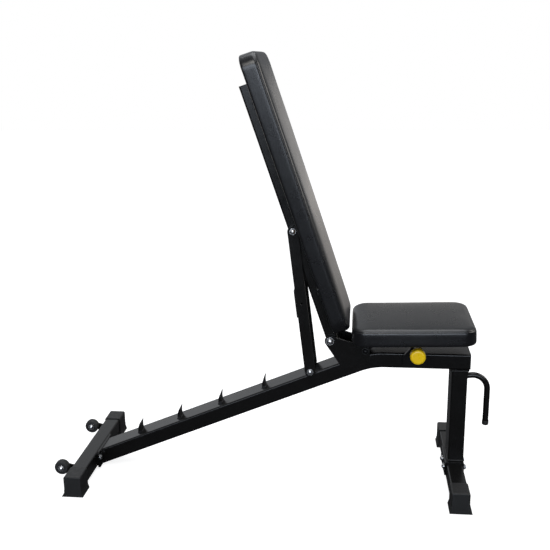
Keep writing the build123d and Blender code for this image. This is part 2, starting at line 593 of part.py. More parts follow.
# ---------------------------------------------------------------- locking pin
def pin_guide():
    """Bridge welded to the beam's side: the quadrant slides between it and the beam."""
    outline = hull_of((PIN_X, PIN_Z, 15), (PIN_X - 34, 382, 4), (PIN_X + 26, 382, 4),
                      (PIN_X - 34, 356, 4), (PIN_X + 26, 356, 4))
    bridge = plate_y(outline, GUIDE_Y, GUIDE_Y + GUIDE_T)
    for x0, x1 in ((PIN_X - 38, PIN_X - 29.5), (PIN_X + 21, PIN_X + 30)):
        bridge += block(x0, x1, GUIDE_Y + GUIDE_T, -BEAM_W / 2, 356, 382)
    return bridge - rod_y(PIN_X, PIN_Z, PIN_R + RUN, GUIDE_Y - 1, GUIDE_Y + GUIDE_T + 1)


def pin_barrel():
    body = rod_y(PIN_X, PIN_Z, BARREL_R, BARREL_OUT, GUIDE_Y)
    body = fillet(body.edges().filter_by(GeomType.CIRCLE).sort_by(Axis.Y)[0], 1.5)
    body -= rod_y(PIN_X, PIN_Z, BARREL_BORE, BARREL_OUT + 4, GUIDE_Y - 6)
    body -= rod_y(PIN_X, PIN_Z, STEM_R + RUN, BARREL_OUT - 1, BARREL_OUT + 5)
    return body - rod_y(PIN_X, PIN_Z, PIN_R + RUN, GUIDE_Y - 7, GUIDE_Y + 1)


def pin_plunger():
    collar_in = GUIDE_Y - 10
    body = rod_y(PIN_X, PIN_Z, PIN_R, collar_in, PLUNGER_IN)
    body += rod_y(PIN_X, PIN_Z, COLLAR_R, collar_in - 4, collar_in)
    return body + rod_y(PIN_X, PIN_Z, STEM_R, KNOB_Y1 - 12, collar_in - 4)


def pin_spring():
    """Compression spring between the plunger's collar and the barrel's end, drawn at its closed length."""
    wire, mean, turns = 0.6, 5.6, 4
    length = 6.0
    coil = Helix(pitch=length / turns, height=length, radius=mean)
    start = Plane(origin=coil @ 0, z_dir=coil % 0)
    body = sweep(start * Circle(wire), path=coil, is_frenet=True)
    return Pos(PIN_X, BARREL_OUT + 4 + length + wire + 0.1, PIN_Z) * Rot(90, 0, 0) * body


def pin_knob():
    body = rod_y(PIN_X, PIN_Z, KNOB_R, KNOB_Y0, KNOB_Y1)
    rims = body.edges().filter_by(GeomType.CIRCLE).sort_by(Axis.Y)
    body = fillet(rims[0], 7)
    body = fillet(body.edges().filter_by(GeomType.CIRCLE).sort_by(Axis.Y)[-1], 4)
    neck = rod_y(PIN_X, PIN_Z, 9, KNOB_Y1 - 1, KNOB_Y1 + 0.5)
    return body + neck - rod_y(PIN_X, PIN_Z, STEM_R, KNOB_Y1 - 12, KNOB_Y1 + 2)


keep("pin_guide", pin_guide())
keep("pin_barrel", pin_barrel())
keep("pin_plunger", pin_plunger())
keep("pin_spring", pin_spring())
keep("pin_knob", pin_knob())


# ---------------------------------------------------------------- export
os.makedirs("parts", exist_ok=True)
for name, solids in nodes.items():
    moved = [SHIFT * solid for solid in solids]
    pieces = [piece for item in moved for piece in item.solids()]
    shape = pieces[0] if len(pieces) == 1 else Compound(children=pieces)
    export_step(shape, f"parts/{name}.step")
print(len(nodes), "nodes; shift in X", -(X_MIN + X_MAX) / 2)
print("strut top", STRUT_TOP, "rod", ROD, "length", STRUT_LENGTH)
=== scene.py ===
import json
import math

import bpy
import numpy as np
from mathutils import Matrix, Vector


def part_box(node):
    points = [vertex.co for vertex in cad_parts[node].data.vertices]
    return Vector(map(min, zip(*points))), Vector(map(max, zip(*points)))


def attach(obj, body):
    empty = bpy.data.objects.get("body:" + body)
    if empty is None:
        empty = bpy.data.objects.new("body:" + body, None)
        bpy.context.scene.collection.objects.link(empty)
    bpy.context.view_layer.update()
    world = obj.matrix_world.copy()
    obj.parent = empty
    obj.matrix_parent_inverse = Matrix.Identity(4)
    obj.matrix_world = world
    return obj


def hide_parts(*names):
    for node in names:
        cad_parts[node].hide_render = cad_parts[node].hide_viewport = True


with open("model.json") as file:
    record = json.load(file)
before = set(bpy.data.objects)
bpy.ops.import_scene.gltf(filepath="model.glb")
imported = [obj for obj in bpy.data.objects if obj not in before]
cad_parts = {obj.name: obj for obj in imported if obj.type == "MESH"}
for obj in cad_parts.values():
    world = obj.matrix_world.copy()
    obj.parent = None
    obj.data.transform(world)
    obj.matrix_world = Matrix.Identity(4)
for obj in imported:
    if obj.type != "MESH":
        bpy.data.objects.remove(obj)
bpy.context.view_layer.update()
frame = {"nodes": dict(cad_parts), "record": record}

MM = 0.001
RECORD = frame["record"]
NODES = frame["nodes"]
JOINTS = {joint["name"]: joint for joint in RECORD["behaviour"]["joints"]}
BACK_PIVOT = Vector(JOINTS["backrest_recline"]["pos_m"])
SEAT_PIVOT = Vector(JOINTS["seat_tilt"]["pos_m"])
BACK_LEAN = math.radians(JOINTS["backrest_recline"]["range_deg"][1])
SEAT_SLOPE = math.radians(1.8)      # these two repeat the CAD's angles
BEAM_SLOPE = math.radians(22.55)


# ---------------------------------------------------------------- camera
def make_camera():
    """A long lens at about the height of the backrest's top, looking a little down."""
    place = Vector((0.24465, -2.28776, 1.19716))
    yaw, pitch, roll = (math.radians(a) for a in (5.89, 14.56, -0.52))
    lens_mm, sensor_mm = 54.6, 36.0
    ahead = Vector((
        -math.sin(yaw) * math.cos(pitch), math.cos(yaw) * math.cos(pitch), -math.sin(pitch),
    ))
    level = Vector((math.cos(yaw), math.sin(yaw), 0))
    above = level.cross(ahead)
    right = level * math.cos(roll) + above * math.sin(roll)
    up = above * math.cos(roll) - level * math.sin(roll)
    data = bpy.data.cameras.new("camera")
    data.lens = lens_mm
    data.sensor_width = sensor_mm
    data.clip_end = 50
    camera = bpy.data.objects.new("camera", data)
    camera.matrix_world = Matrix((
        (right.x, up.x, -ahead.x, place.x),
        (right.y, up.y, -ahead.y, place.y),
        (right.z, up.z, -ahead.z, place.z),
        (0, 0, 0, 1),
    ))
    bpy.context.scene.collection.objects.link(camera)
    bpy.context.scene.camera = camera


# ---------------------------------------------------------------- materials
MIX_COLORS = (6, 7)  # a Mix node's two colour inputs and its colour output, by place
MIX_RESULT = 2


class Graph:
    """One material's node graph, with its Principled shader ready to feed."""

    def __init__(self, name, color, roughness, metallic=0.0, **extra):
        self.material = bpy.data.materials.new(name)
        self.material.use_nodes = True
        self.tree = self.material.node_tree
        self.shader = self.tree.nodes["Principled BSDF"]
        self.set("Base Color", (*color, 1.0))
        self.set("Roughness", roughness)
        self.set("Metallic", metallic)
        for key, value in extra.items():
            self.set(key.replace("_", " "), value)

    def set(self, socket, value):
        self.feed(self.shader.inputs[socket], value)

    def feed(self, socket, value):
        if isinstance(value, bpy.types.NodeSocket):
            self.tree.links.new(value, socket)
        else:
            socket.default_value = value

    def add(self, kind, inputs=None, **settings):
        node = self.tree.nodes.new(kind)
        for key, value in settings.items():
            setattr(node, key, value)
        for key, value in (inputs or {}).items():
            self.feed(node.inputs[key], value)
        return node

    def place(self, scale=(1, 1, 1)):
        """Object coordinates in metres, stretched by scale."""
        coords = self.add("ShaderNodeTexCoord").outputs["Object"]
        return self.add("ShaderNodeMapping", {"Vector": coords, "Scale": scale}).outputs["Vector"]

    def noise(self, scale, detail=3.0, stretch=(1, 1, 1)):
        return self.add(
            "ShaderNodeTexNoise", {"Vector": self.place(stretch), "Scale": scale, "Detail": detail}
        ).outputs["Fac"]

    def ramp(self, value, low, high, out_low, out_high):
        return self.add("ShaderNodeMapRange", {
            "Value": value,
            "From Min": low, "From Max": high,
            "To Min": out_low, "To Max": out_high,
        }).outputs["Result"]

    def mix(self, factor, first, second):
        """Mixes two colours."""
        node = self.add("ShaderNodeMix", data_type="RGBA")
        self.feed(node.inputs["Factor"], factor)
        for place, color in zip(MIX_COLORS, (first, second)):
            linked = isinstance(color, bpy.types.NodeSocket)
            self.feed(node.inputs[place], color if linked else (*color, 1.0))
        return node.outputs[MIX_RESULT]

    def math(self, operation, first, second=0.0):
        node = self.add("ShaderNodeMath", operation=operation)
        self.feed(node.inputs[0], first)
        self.feed(node.inputs[1], second)
        return node.outputs[0]

    def bump(self, height, depth_mm, strength=1.0, under=None):
        node = self.add("ShaderNodeBump", {
            "Height": height, "Distance": depth_mm * MM, "Strength": strength,
        })
        if under is not None:
            self.feed(node.inputs["Normal"], under)
        return node.outputs["Normal"]

    def rounded(self, radius_mm):
        """A normal that rounds sharp edges off."""
        return self.add("ShaderNodeBevel", {"Radius": radius_mm * MM}, samples=4).outputs["Normal"]

    def edges(self, radius_mm, low=0.002, high=0.05):
        """1 along sharp edges, 0 on open faces."""
        soft = self.rounded(radius_mm)
        hard = self.add("ShaderNodeNewGeometry").outputs["Normal"]
        node = self.add("ShaderNodeVectorMath", operation="DOT_PRODUCT")
        self.feed(node.inputs[0], soft)
        self.feed(node.inputs[1], hard)
        turned = self.math("SUBTRACT", 1.0, node.outputs["Value"])
        return self.ramp(turned, low, high, 0.0, 1.0)


def powder_coat():
    """Satin black powder coat: orange peel, faint mottling, edges where the coat is rubbed."""
    g = Graph("powder_coat", (0.0065, 0.006, 0.0056), 0.42, Specular_IOR_Level=0.38)
    mottle = g.noise(9.0, 4.0)
    worn = g.math("MULTIPLY", g.edges(1.4), g.ramp(g.noise(140.0, 4.0), 0.45, 0.68, 0.1, 0.8))
    base = g.mix(mottle, (0.0021, 0.002, 0.0018), (0.004, 0.0037, 0.0034))
    g.set("Base Color", g.mix(worn, base, (0.03, 0.03, 0.031)))
    g.set("Roughness", g.ramp(g.noise(38.0), 0.3, 0.7, 0.23, 0.27))
    peel = g.bump(g.noise(520.0, 2.0), 0.03, 0.3, g.rounded(0.9))
    g.set("Normal", g.bump(g.noise(50.0, 2.0), 0.02, 0.08, peel))
    return g.material


def zinc_plate():
    g = Graph("zinc_plate", (0.78, 0.79, 0.81), 0.24, metallic=1.0)
    g.set("Base Color", g.mix(g.noise(240.0, 4.0), (0.62, 0.63, 0.66), (0.88, 0.88, 0.87)))
    g.set("Roughness", g.ramp(g.noise(400.0), 0.3, 0.7, 0.16, 0.34))
    g.set("Normal", g.bump(g.noise(1500.0, 2.0), 0.03, 0.4, g.rounded(0.4)))
    return g.material


def black_oxide():
    g = Graph("black_oxide", (0.02, 0.02, 0.021), 0.36, metallic=0.7)
    g.set("Base Color", g.mix(g.edges(0.6), (0.016, 0.016, 0.017), (0.09, 0.09, 0.09)))
    g.set("Roughness", g.ramp(g.noise(300.0), 0.3, 0.7, 0.3, 0.46))
    g.set("Normal", g.bump(g.noise(900.0), 0.03, 0.4, g.rounded(0.4)))
    return g.material


def textured_plastic():
    """Injection-moulded black plastic with a spark-eroded grain."""
    g = Graph("textured_plastic", (0.009, 0.009, 0.0092), 0.5)
    g.set("Base Color", g.mix(g.edges(1.0), (0.0075, 0.0073, 0.0073), (0.022, 0.021, 0.021)))
    g.set("Roughness", g.ramp(g.noise(120.0), 0.3, 0.7, 0.44, 0.58))
    g.set("Normal", g.bump(g.noise(1400.0, 2.0), 0.07, 0.6, g.rounded(0.8)))
    return g.material


def moulded_rubber():
    g = Graph("moulded_rubber", (0.012, 0.012, 0.0125), 0.66)
    g.set("Base Color", g.mix(g.noise(60.0, 5.0), (0.009, 0.009, 0.0095), (0.02, 0.0195, 0.019)))
    g.set("Roughness", g.ramp(g.noise(90.0), 0.3, 0.7, 0.55, 0.78))
    g.set("Normal", g.bump(g.noise(1100.0, 2.0), 0.08, 0.6))
    return g.material


def leatherette():
    """Black upholstery vinyl: a fine pebbled grain, with painted shade between the pebbles, and
    broad waves.
    """
    g = Graph("leatherette", (0.009, 0.0093, 0.0106), 0.47, Specular_IOR_Level=0.5)
    bend = g.add("ShaderNodeTexNoise", {
        "Vector": g.place(), "Scale": 260.0, "Detail": 2.0,
    }).outputs["Color"]
    shaken = g.add("ShaderNodeVectorMath", operation="MULTIPLY_ADD")
    g.feed(shaken.inputs[0], bend)
    shaken.inputs[1].default_value = (0.7 * MM,) * 3
    g.feed(shaken.inputs[2], g.place())
    cells = g.add("ShaderNodeTexVoronoi", {
        "Vector": shaken.outputs["Vector"], "Scale": 640.0,
    }, feature="DISTANCE_TO_EDGE").outputs["Distance"]
    pebble = g.ramp(cells, 0.0, 0.18, 0.0, 1.0)
    tone = g.mix(g.noise(5.0, 3.0), (0.0046, 0.0048, 0.0056), (0.0074, 0.0076, 0.009))
    # painted shade: the colour darkens between the pebbles, where the grain's hollows would be in
    # shadow
    g.set("Base Color", g.mix(g.ramp(pebble, 0.0, 1.0, 0.55, 0.0), tone, (0.0028, 0.0028, 0.0033)))
    g.set("Roughness", g.ramp(g.noise(16.0, 4.0), 0.3, 0.7, 0.265, 0.295))
    fine = g.bump(pebble, 0.06, 0.3)
    g.set("Normal", g.bump(g.noise(30.0, 2.0), 0.06, 0.08, fine))
    return g.material


def plywood():
    g = Graph("plywood", (0.42, 0.3, 0.18), 0.7)
    grain = g.noise(60.0, 6.0, (0.35, 3.0, 0.35))
    pores = g.noise(420.0, 2.0, (0.12, 3.5, 0.12))
    tone = g.mix(grain, (0.36, 0.24, 0.13), (0.52, 0.38, 0.23))
    g.set("Base Color", g.mix(g.ramp(pores, 0.56, 0.72, 0.0, 0.7), tone, (0.2, 0.12, 0.06)))
    g.set("Roughness", g.ramp(grain, 0.3, 0.7, 0.6, 0.8))
    g.set("Normal", g.bump(pores, 0.12, 0.5))
    return g.material


def yellow_plastic():
    g = Graph("yellow_plastic", (0.8, 0.5, 0.005), 0.3, Coat_Weight=0.25, Coat_Roughness=0.15)
    g.set("Base Color", g.mix(g.noise(26.0, 3.0), (0.88, 0.56, 0.003), (0.98, 0.66, 0.006)))
    g.set("Roughness", g.ramp(g.noise(120.0), 0.3, 0.7, 0.24, 0.38))
    g.set("Normal", g.bump(g.noise(700.0), 0.03, 0.3, g.rounded(0.6)))
    return g.material


def dress_nodes(finishes):
    """Gives every CAD node the finish of its material slot in the record."""
    for part in RECORD["subparts"]:
        node = NODES[part["node"]]
        for place in node.material_slots:
            place.link = "OBJECT"
            place.material = finishes[part["material_slot"]]


# ---------------------------------------------------------------- cushions
PAD_CORNER = 40 * MM
LEAST_CORNER = 4 * MM   # an inset outline keeps at least this corner radius
CORNER_REACH = 1.05     # how far a corner's bend reaches along the sides, in corner radii
GRID_STEP = 6 * MM
TOP_INSET = 15 * MM     # where the flat top's grid ends and the rolled edge begins
HEM_INSET = 30 * MM
ROLL, TUCK = 13 * MM, 5 * MM    # radii of the upper and the lower edge
UNDER_BOARD = -0.8 * MM         # height of the turned-under cover
CROWN = 3.2 * MM
SEAM_RING, SEAM_DEPTH = 4, 1.3 * MM     # counted from the top's border
HELD_RINGS, PLEATED_RINGS = 9, 6        # counted from the hem
WEAR_SIDE = 32 * MM     # width of the strip that wears at a pad's sides
WEAR_FROM = 0.45        # share of the thickness below which nothing sinks
PLEATS, PLEAT_DEPTH = 6, 0.9 * MM
CLOTH_FRAMES = 20
SPREAD_ROUNDS = 24


class Pad:
    """Where a cushion lies: its own axes, and the size of the CAD solid along them."""

    def __init__(self, node, pivot, along, out):
        self.along, self.out = along, out
        self.across = out.cross(along)
        turn = np.array([self.along, self.across, self.out])
        points = np.array([v.co for v in NODES[node].data.vertices]) - np.array(pivot)
        local = points @ turn.T
        low, high = local.min(0), local.max(0)
        self.half_u = (high[0] - low[0]) / 2
        self.thick = high[2] - low[2]
        upper = local[local[:, 0] > (low[0] + high[0]) / 2]
        lower = local[local[:, 0] < (low[0] + high[0]) / 2]
        wide_up, wide_low = np.abs(upper[:, 1]).max(), np.abs(lower[:, 1]).max()
        reach = self.half_u - PAD_CORNER
        self.half_v = (wide_up + wide_low) / 2
        self.taper = (wide_up - wide_low) / (2 * reach * self.half_v)
        centre = np.array([*((low + high) / 2)[:2], low[2]])
        self.origin = np.array(pivot) + centre @ turn
        self.turn = turn

    def world(self, local):
        """To the shared frame; the sides close in towards the narrower end."""
        shaped = np.array(local, dtype=float)
        shaped[:, 1] *= 1 + self.taper * shaped[:, 0]
        return shaped @ self.turn + self.origin


def loop_point(point, length_u, length_v, corner, reach):
    """Maps a point on a rectangle's outline to the same rectangle with round corners.

    reach is how far from each corner the outline is bent to the arc."""
    u, v = point
    near_u, near_v = length_u - abs(u), length_v - abs(v)
    if near_u + near_v >= reach or corner <= 0:
        return u, v
    turned = 0.5 + (near_u - near_v) / (2 * reach)
    angle = math.pi / 2 * turned
    cu, cv = length_u - corner, length_v - corner
    return (
        math.copysign(cu + corner * math.cos(angle), u),
        math.copysign(cv + corner * math.sin(angle), v),
    )


def outline(pad, inset, steps_u, steps_v):
    """Points round the pad's outline at an inset, in order, the same number at every inset."""
    half_u, half_v = pad.half_u - inset, pad.half_v - inset
    corner = max(PAD_CORNER - inset, LEAST_CORNER)
    reach = corner * CORNER_REACH
    ring = []
    for k in range(steps_u):
        ring.append((-half_u + 2 * half_u * k / steps_u, -half_v))
    for k in range(steps_v):
        ring.append((half_u, -half_v + 2 * half_v * k / steps_v))
    for k in range(steps_u):
        ring.append((half_u - 2 * half_u * k / steps_u, half_v))
    for k in range(steps_v):
        ring.append((-half_u, half_v - 2 * half_v * k / steps_v))
    return [loop_point(p, half_u, half_v, corner, reach) for p in ring]


def sheet_points(pad, inset, steps_u, steps_v):
    """A grid over the pad inside an inset; its border is the outline at that inset."""
    half_u, half_v = pad.half_u - inset, pad.half_v - inset
    rows = []
    for j in range(steps_v + 1):
        row = []
        for i in range(steps_u + 1):
            u = -half_u + 2 * half_u * i / steps_u
            v = -half_v + 2 * half_v * j / steps_v
            depth = min(half_u - abs(u), half_v - abs(v))
            corner = max(PAD_CORNER - inset, LEAST_CORNER) - depth
            reach = corner * CORNER_REACH
            row.append(loop_point((u, v), half_u - depth, half_v - depth, corner, reach))
        rows.append(row)
    return rows


def rim_of(steps_u, steps_v):
    """Grid places of the border, in the order that outline() goes round."""
    rim = [(i, 0) for i in range(steps_u)]
    rim += [(steps_u, j) for j in range(steps_v)]
    rim += [(i, steps_v) for i in range(steps_u, 0, -1)]
    rim += [(0, j) for j in range(steps_v, 0, -1)]
    return rim


def cushion_profile(thick):
    """(inset, height) from the top's border over the edge, down the side and under to the hem."""
    steps = []
    for degrees in (14, 28, 42, 50, 56, 62, 76):
        a = math.radians(degrees)
        steps.append((ROLL * (1 - math.sin(a)), thick - ROLL * (1 - math.cos(a))))
    for share in (0.12, 0.37, 0.62, 0.87):
        steps.append((0.0, (thick - ROLL) * (1 - share) + TUCK * share))
    for degrees in (20, 50, 80):
        a = math.radians(degrees)
        steps.append((TUCK * (1 - math.cos(a)), TUCK * (1 - math.sin(a))))
    for inset in (8, 13, 19, 25):
        steps.append((inset * MM, UNDER_BOARD))
    steps.append((HEM_INSET - 0.6 * MM, UNDER_BOARD))
    steps.append((HEM_INSET, UNDER_BOARD + 0.5 * MM))
    return steps


def crown(pad, u, v):
    """How far the foam stands up inside the edge: most in the middle of the pad."""
    a, b = abs(u) / pad.half_u, abs(v) / pad.half_v
    return CROWN * (1 - a**4) * (1 - b**2.6)


def settle(pad, mesh, end, reach, drop, sides):
    """Lets the cover sink near the pad's end of highest or lowest u (end 1 or -1).

    The sinking begins at a distance of reach from that end, and comes to drop at the end itself.
    It goes all across, or, with sides, only along the pad's two sides."""
    for vertex in mesh.vertices:
        u, v, height = vertex.co
        near_end = min(1.0, max(0.0, (end * u - (pad.half_u - reach)) / reach))
        near_side = 1.0
        if sides:
            near_side = min(1.0, max(0.0, (abs(v) - (pad.half_v - WEAR_SIDE)) / WEAR_SIDE))
        share = max(0.0, height - WEAR_FROM * pad.thick) / ((1 - WEAR_FROM) * pad.thick)
        vertex.co.z -= drop * near_end**1.3 * near_side**1.6 * min(1.0, share)


def make_cushion(name, pad, body, replaced, finish, worn, puff):
    """The whole cover as one closed mesh: top grid, rings down the side and under, inner grid.

    worn lists settle()'s end, reach, drop and sides; puff caps how far the cloth may move."""
    steps_u = round(2 * (pad.half_u - TOP_INSET) / GRID_STEP)
    steps_v = round(2 * (pad.half_v - TOP_INSET) / GRID_STEP)
    points, faces = [], []

    def grid(inset, height, flip, crowned):
        index = {}
        for j, row in enumerate(sheet_points(pad, inset, steps_u, steps_v)):
            for i, (u, v) in enumerate(row):
                index[i, j] = len(points)
                points.append((u, v, height + (crown(pad, u, v) if crowned else 0)))
        for i in range(steps_u):
            for j in range(steps_v):
                face = [index[i, j], index[i + 1, j], index[i + 1, j + 1], index[i, j + 1]]
                faces.append(face[::-1] if flip else face)
        return [index[place] for place in rim_of(steps_u, steps_v)]

    def join(upper, lower):
        count = len(upper)
        for k in range(count):
            faces.append([upper[k], lower[k], lower[(k + 1) % count], upper[(k + 1) % count]])

    previous = grid(TOP_INSET, pad.thick, False, True)
    rings = []
    for inset, height in cushion_profile(pad.thick):
        ring = []
        for u, v in outline(pad, inset, steps_u, steps_v):
            ring.append(len(points))
            points.append((u, v, height))
        join(previous, ring)
        rings.append(ring)
        previous = ring
    inner = grid(HEM_INSET + 1 * MM, 0.6 * MM, True, False)
    join(previous, inner)

    mesh = bpy.data.meshes.new(name)
    mesh.from_pydata(points, [], faces)
    mesh.validate()
    piece = bpy.data.objects.new(name, mesh)
    bpy.context.scene.collection.objects.link(piece)

    pinned = range(rings[-HELD_RINGS][0], len(points))
    inflate(piece, list(pinned), cap=puff)
    for wear in worn:
        settle(pad, mesh, *wear)
    pleat_hem(pad, mesh, rings[-PLEATED_RINGS:])
    groove(mesh, rings[SEAM_RING], SEAM_DEPTH)
    local = np.array([v.co for v in mesh.vertices])
    mesh.vertices.foreach_set("co", pad.world(local).ravel())
    mesh.update()
    for polygon in mesh.polygons:
        polygon.use_smooth = True
    smooth = piece.modifiers.new("smooth", "SUBSURF")
    smooth.levels = smooth.render_levels = 1
    mesh.materials.append(finish)
    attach(piece, body)
    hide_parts(replaced)
    return piece


def spread(mesh, shift, rounds):
    """Evens a field of moves out over the mesh: taut vinyl over foam has no small wrinkles."""
    ends = np.array([edge.vertices[:] for edge in mesh.edges])
    count = np.bincount(ends.ravel(), minlength=len(shift))[:, None]
    for _ in range(rounds):
        total = np.zeros_like(shift)
        np.add.at(total, ends[:, 0], shift[ends[:, 1]])
        np.add.at(total, ends[:, 1], shift[ends[:, 0]])
        shift = 0.5 * shift + 0.5 * total / np.maximum(count, 1)
    return shift


def inflate(piece, pinned, cap):
    """Blows the cover up a little with cloth simulation; the hem is held, as it is stapled.

    The moves are evened out over the cover and none is longer than cap."""
    scene = bpy.context.scene
    held = piece.vertex_groups.new(name="held")
    held.add(pinned, 1.0, "REPLACE")
    cloth = piece.modifiers.new("Cloth", "CLOTH")
    settings = cloth.settings
    settings.quality = 5
    settings.mass = 0.4
    settings.tension_stiffness = 60
    settings.compression_stiffness = 60
    settings.shear_stiffness = 20
    settings.bending_stiffness = 4
    settings.use_pressure = True
    settings.uniform_pressure_force = 5
    settings.vertex_group_mass = "held"
    settings.effector_weights.gravity = 0
    rest = np.array([v.co for v in piece.data.vertices])
    for number in range(1, CLOTH_FRAMES + 1):
        scene.frame_set(number)
    blown = piece.evaluated_get(bpy.context.evaluated_depsgraph_get()).data
    moved = np.array([v.co for v in blown.vertices])
    shift = spread(piece.data, moved - rest, SPREAD_ROUNDS)
    far = np.linalg.norm(shift, axis=1, keepdims=True)
    shift *= np.minimum(1, cap / np.maximum(far, 1e-9))
    piece.modifiers.remove(cloth)
    piece.vertex_groups.remove(held)
    piece.data.vertices.foreach_set("co", (rest + shift).ravel())
    piece.data.update()
    scene.frame_set(1)


def pleat_hem(pad, mesh, rings):
    """Gathers the cover into pleats where it turns the corners under the board."""
    for ring in rings:
        for index in ring:
            co = mesh.vertices[index].co
            du = abs(co.x) - (pad.half_u - PAD_CORNER)
            dv = abs(co.y) - (pad.half_v - PAD_CORNER)
            if du > 0 and dv > 0:
                turn = math.atan2(dv, du) / (math.pi / 2)
                co.z -= PLEAT_DEPTH * abs(math.sin(math.pi * PLEATS * turn))


def groove(mesh, ring, depth):
    """Sinks one ring of points along the surface's normal, for a sewn seam."""
    mesh.update()
    for index in ring:
        vertex = mesh.vertices[index]
        vertex.co -= vertex.normal * depth


def make_staples(name, pad, body, finish):
    """Wire staples that hold the hem to the board, all the way round."""
    inset, pitch, wire, leg = 22 * MM, 36 * MM, 0.55 * MM, 5 * MM
    end_gap, below, bite = 20 * MM, 1.1 * MM, 0.9 * MM
    half_u, half_v = pad.half_u - inset, pad.half_v - inset
    places = []
    for half, other, along_u in ((half_u, half_v, True), (half_v, half_u, False)):
        run = half - end_gap
        count = round(2 * run / pitch)
        for k in range(count + 1):
            s = -run + 2 * run * k / count
            for side in (-1, 1):
                places.append((s, side * other, True) if along_u else (side * other, s, False))
    points, faces, turns = [], [], 8
    for u, v, along_u in places:
        base = len(points)
        for end in (-leg, -leg * 0.86, leg * 0.86, leg):
            sunk = bite if abs(end) == leg else 0.0
            for k in range(turns):
                a = 2 * math.pi * k / turns
                side, rise = wire * math.cos(a), wire * math.sin(a) - below + sunk
                points.append((u + end, v + side, rise) if along_u else (u + side, v + end, rise))
        for ring in range(3):
            for k in range(turns):
                a, b = base + ring * turns + k, base + ring * turns + (k + 1) % turns
                faces.append([a, b, b + turns, a + turns])
        faces.append([base + k for k in range(turns)][::-1])
        faces.append([base + 3 * turns + k for k in range(turns)])
    return make_piece(name, pad.world(points), faces, body, finish)


# ---------------------------------------------------------------- small pieces
def make_piece(name, points, faces, body, finish):
    mesh = bpy.data.meshes.new(name)
    mesh.from_pydata([tuple(p) for p in points], [], faces)
    mesh.validate()
    mesh.update()
    for polygon in mesh.polygons:
        polygon.use_smooth = True
    mesh.materials.append(finish)
    piece = bpy.data.objects.new(name, mesh)
    bpy.context.scene.collection.objects.link(piece)
    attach(piece, body)
    return piece


def spaced(points, pitch):
    """The same path with points an even pitch apart."""
    path = [Vector(p) for p in points]
    lengths = [(b - a).length for a, b in zip(path, path[1:])]
    total = sum(lengths)
    count = max(2, round(total / pitch))
    out, leg, done = [], 0, 0.0
    for k in range(count + 1):
        want = total * k / count
        while leg < len(lengths) - 1 and want > done + lengths[leg]:
            done += lengths[leg]
            leg += 1
        share = min(1.0, (want - done) / lengths[leg])
        out.append(path[leg].lerp(path[leg + 1], share))
    return out


def bead_mesh(paths, radius, pitch):
    """Weld beads: a tube along each path, rippled like overlapping drops, closed at both ends."""
    points, faces, turns = [], [], 10
    for path in paths:
        line = spaced(path, pitch / 3)
        base = len(points)
        for k, place in enumerate(line):
            ahead = (line[min(k + 1, len(line) - 1)] - line[max(k - 1, 0)]).normalized()
            side = ahead.orthogonal().normalized()
            top = ahead.cross(side)
            drop = abs(math.sin(math.pi * k / 3 + 0.4))  # one ripple to three points
            wander = 0.08 * math.sin(k * 1.7) + 0.05 * math.sin(k * 0.61 + 1.3)
            end = 0.35 if k in (0, len(line) - 1) else 1.0  # narrow at both ends
            r = radius * end * (0.84 + 0.2 * drop + wander)
            for t in range(turns):
                a = 2 * math.pi * t / turns
                points.append(place + side * (r * math.cos(a)) + top * (r * math.sin(a)))
        for k in range(len(line) - 1):
            for t in range(turns):
                a, b = base + k * turns + t, base + k * turns + (t + 1) % turns
                faces.append([a, b, b + turns, a + turns])
        faces.append([base + t for t in range(turns)][::-1])
        last = base + (len(line) - 1) * turns
        faces.append([last + t for t in range(turns)])
    return points, faces


WELD_PITCH = 3 * MM
TOOTH_ROOT = 10 * MM
BEAM_HEIGHT = 45 * MM


def make_welds(name, paths, finish, radius=2.2 * MM):
    points, faces = bead_mesh(paths, radius, WELD_PITCH)
    return make_piece(name, points, faces, "frame", finish)


def rectangle(x, y, z, half_x, half_y):
    corners = [(-1, -1), (1, -1), (1, 1), (-1, 1), (-1, -1)]
    return [(x + half_x * a, y + half_y * b, z) for a, b in corners]


def tooth_welds(finish):
    """A bead across the beam in front of and behind each tooth."""
    along = Vector((math.cos(BEAM_SLOPE), 0, math.sin(BEAM_SLOPE)))
    gap, inside = 0.6 * MM, 1.5 * MM
    paths = []
    for number in range(1, 5):
        name = f"ladder_tooth_{number}"
        low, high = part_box(name)
        foot = min((v.co for v in NODES[name].data.vertices), key=lambda co: co.z)
        start = Vector((foot.x, 0, foot.z))
        for shift in (-gap, TOOTH_ROOT + gap):
            middle = start + along * shift
            paths.append([middle + Vector((0, y, 0)) for y in (low.y + inside, high.y - inside)])
    return make_welds("tooth_welds", paths, finish, 1.9 * MM)


def post_welds(finish):
    """A bead round the post's foot and another round its head."""
    low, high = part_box("front_post")
    gap = 0.3 * MM
    half_x, half_y = (high.x - low.x) / 2 + gap, (high.y - low.y) / 2 + gap
    paths = [rectangle((low.x + high.x) / 2, 0, z, half_x, half_y) for z in (low.z, high.z)]
    return make_welds("post_welds", paths, finish, 2.0 * MM)


def end_plate_welds(finish):
    """A bead round the slanted beam where it meets the rear end plate."""
    plate_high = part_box("rear_end_plate")[1]
    beam_low, beam_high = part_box("main_beam")
    x, half_y, corner = plate_high.x, (beam_high.y - beam_low.y) / 2, 3 * MM
    base, top = beam_low.z, beam_low.z + BEAM_HEIGHT / math.cos(BEAM_SLOPE)
    path = [
        (x, -half_y, base + corner), (x, -half_y, top - corner), (x, -half_y + corner, top),
        (x, half_y - corner, top), (x, half_y, top - corner), (x, half_y, base + corner),
    ]
    return make_welds("end_plate_welds", [path], finish)


def handle_weld(finish):
    """A ring where the handle's upper end meets the post."""
    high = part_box("carry_handle")[1]
    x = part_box("front_post")[1].x
    radius, turns = 8.5 * MM, 24
    z = high.z - 8 * MM - radius
    ring = []
    for k in range(turns + 1):
        a = 2 * math.pi * k / turns
        ring.append((x, radius * math.cos(a), z + radius * math.sin(a)))
    return make_welds("handle_weld", [ring], finish, 1.8 * MM)


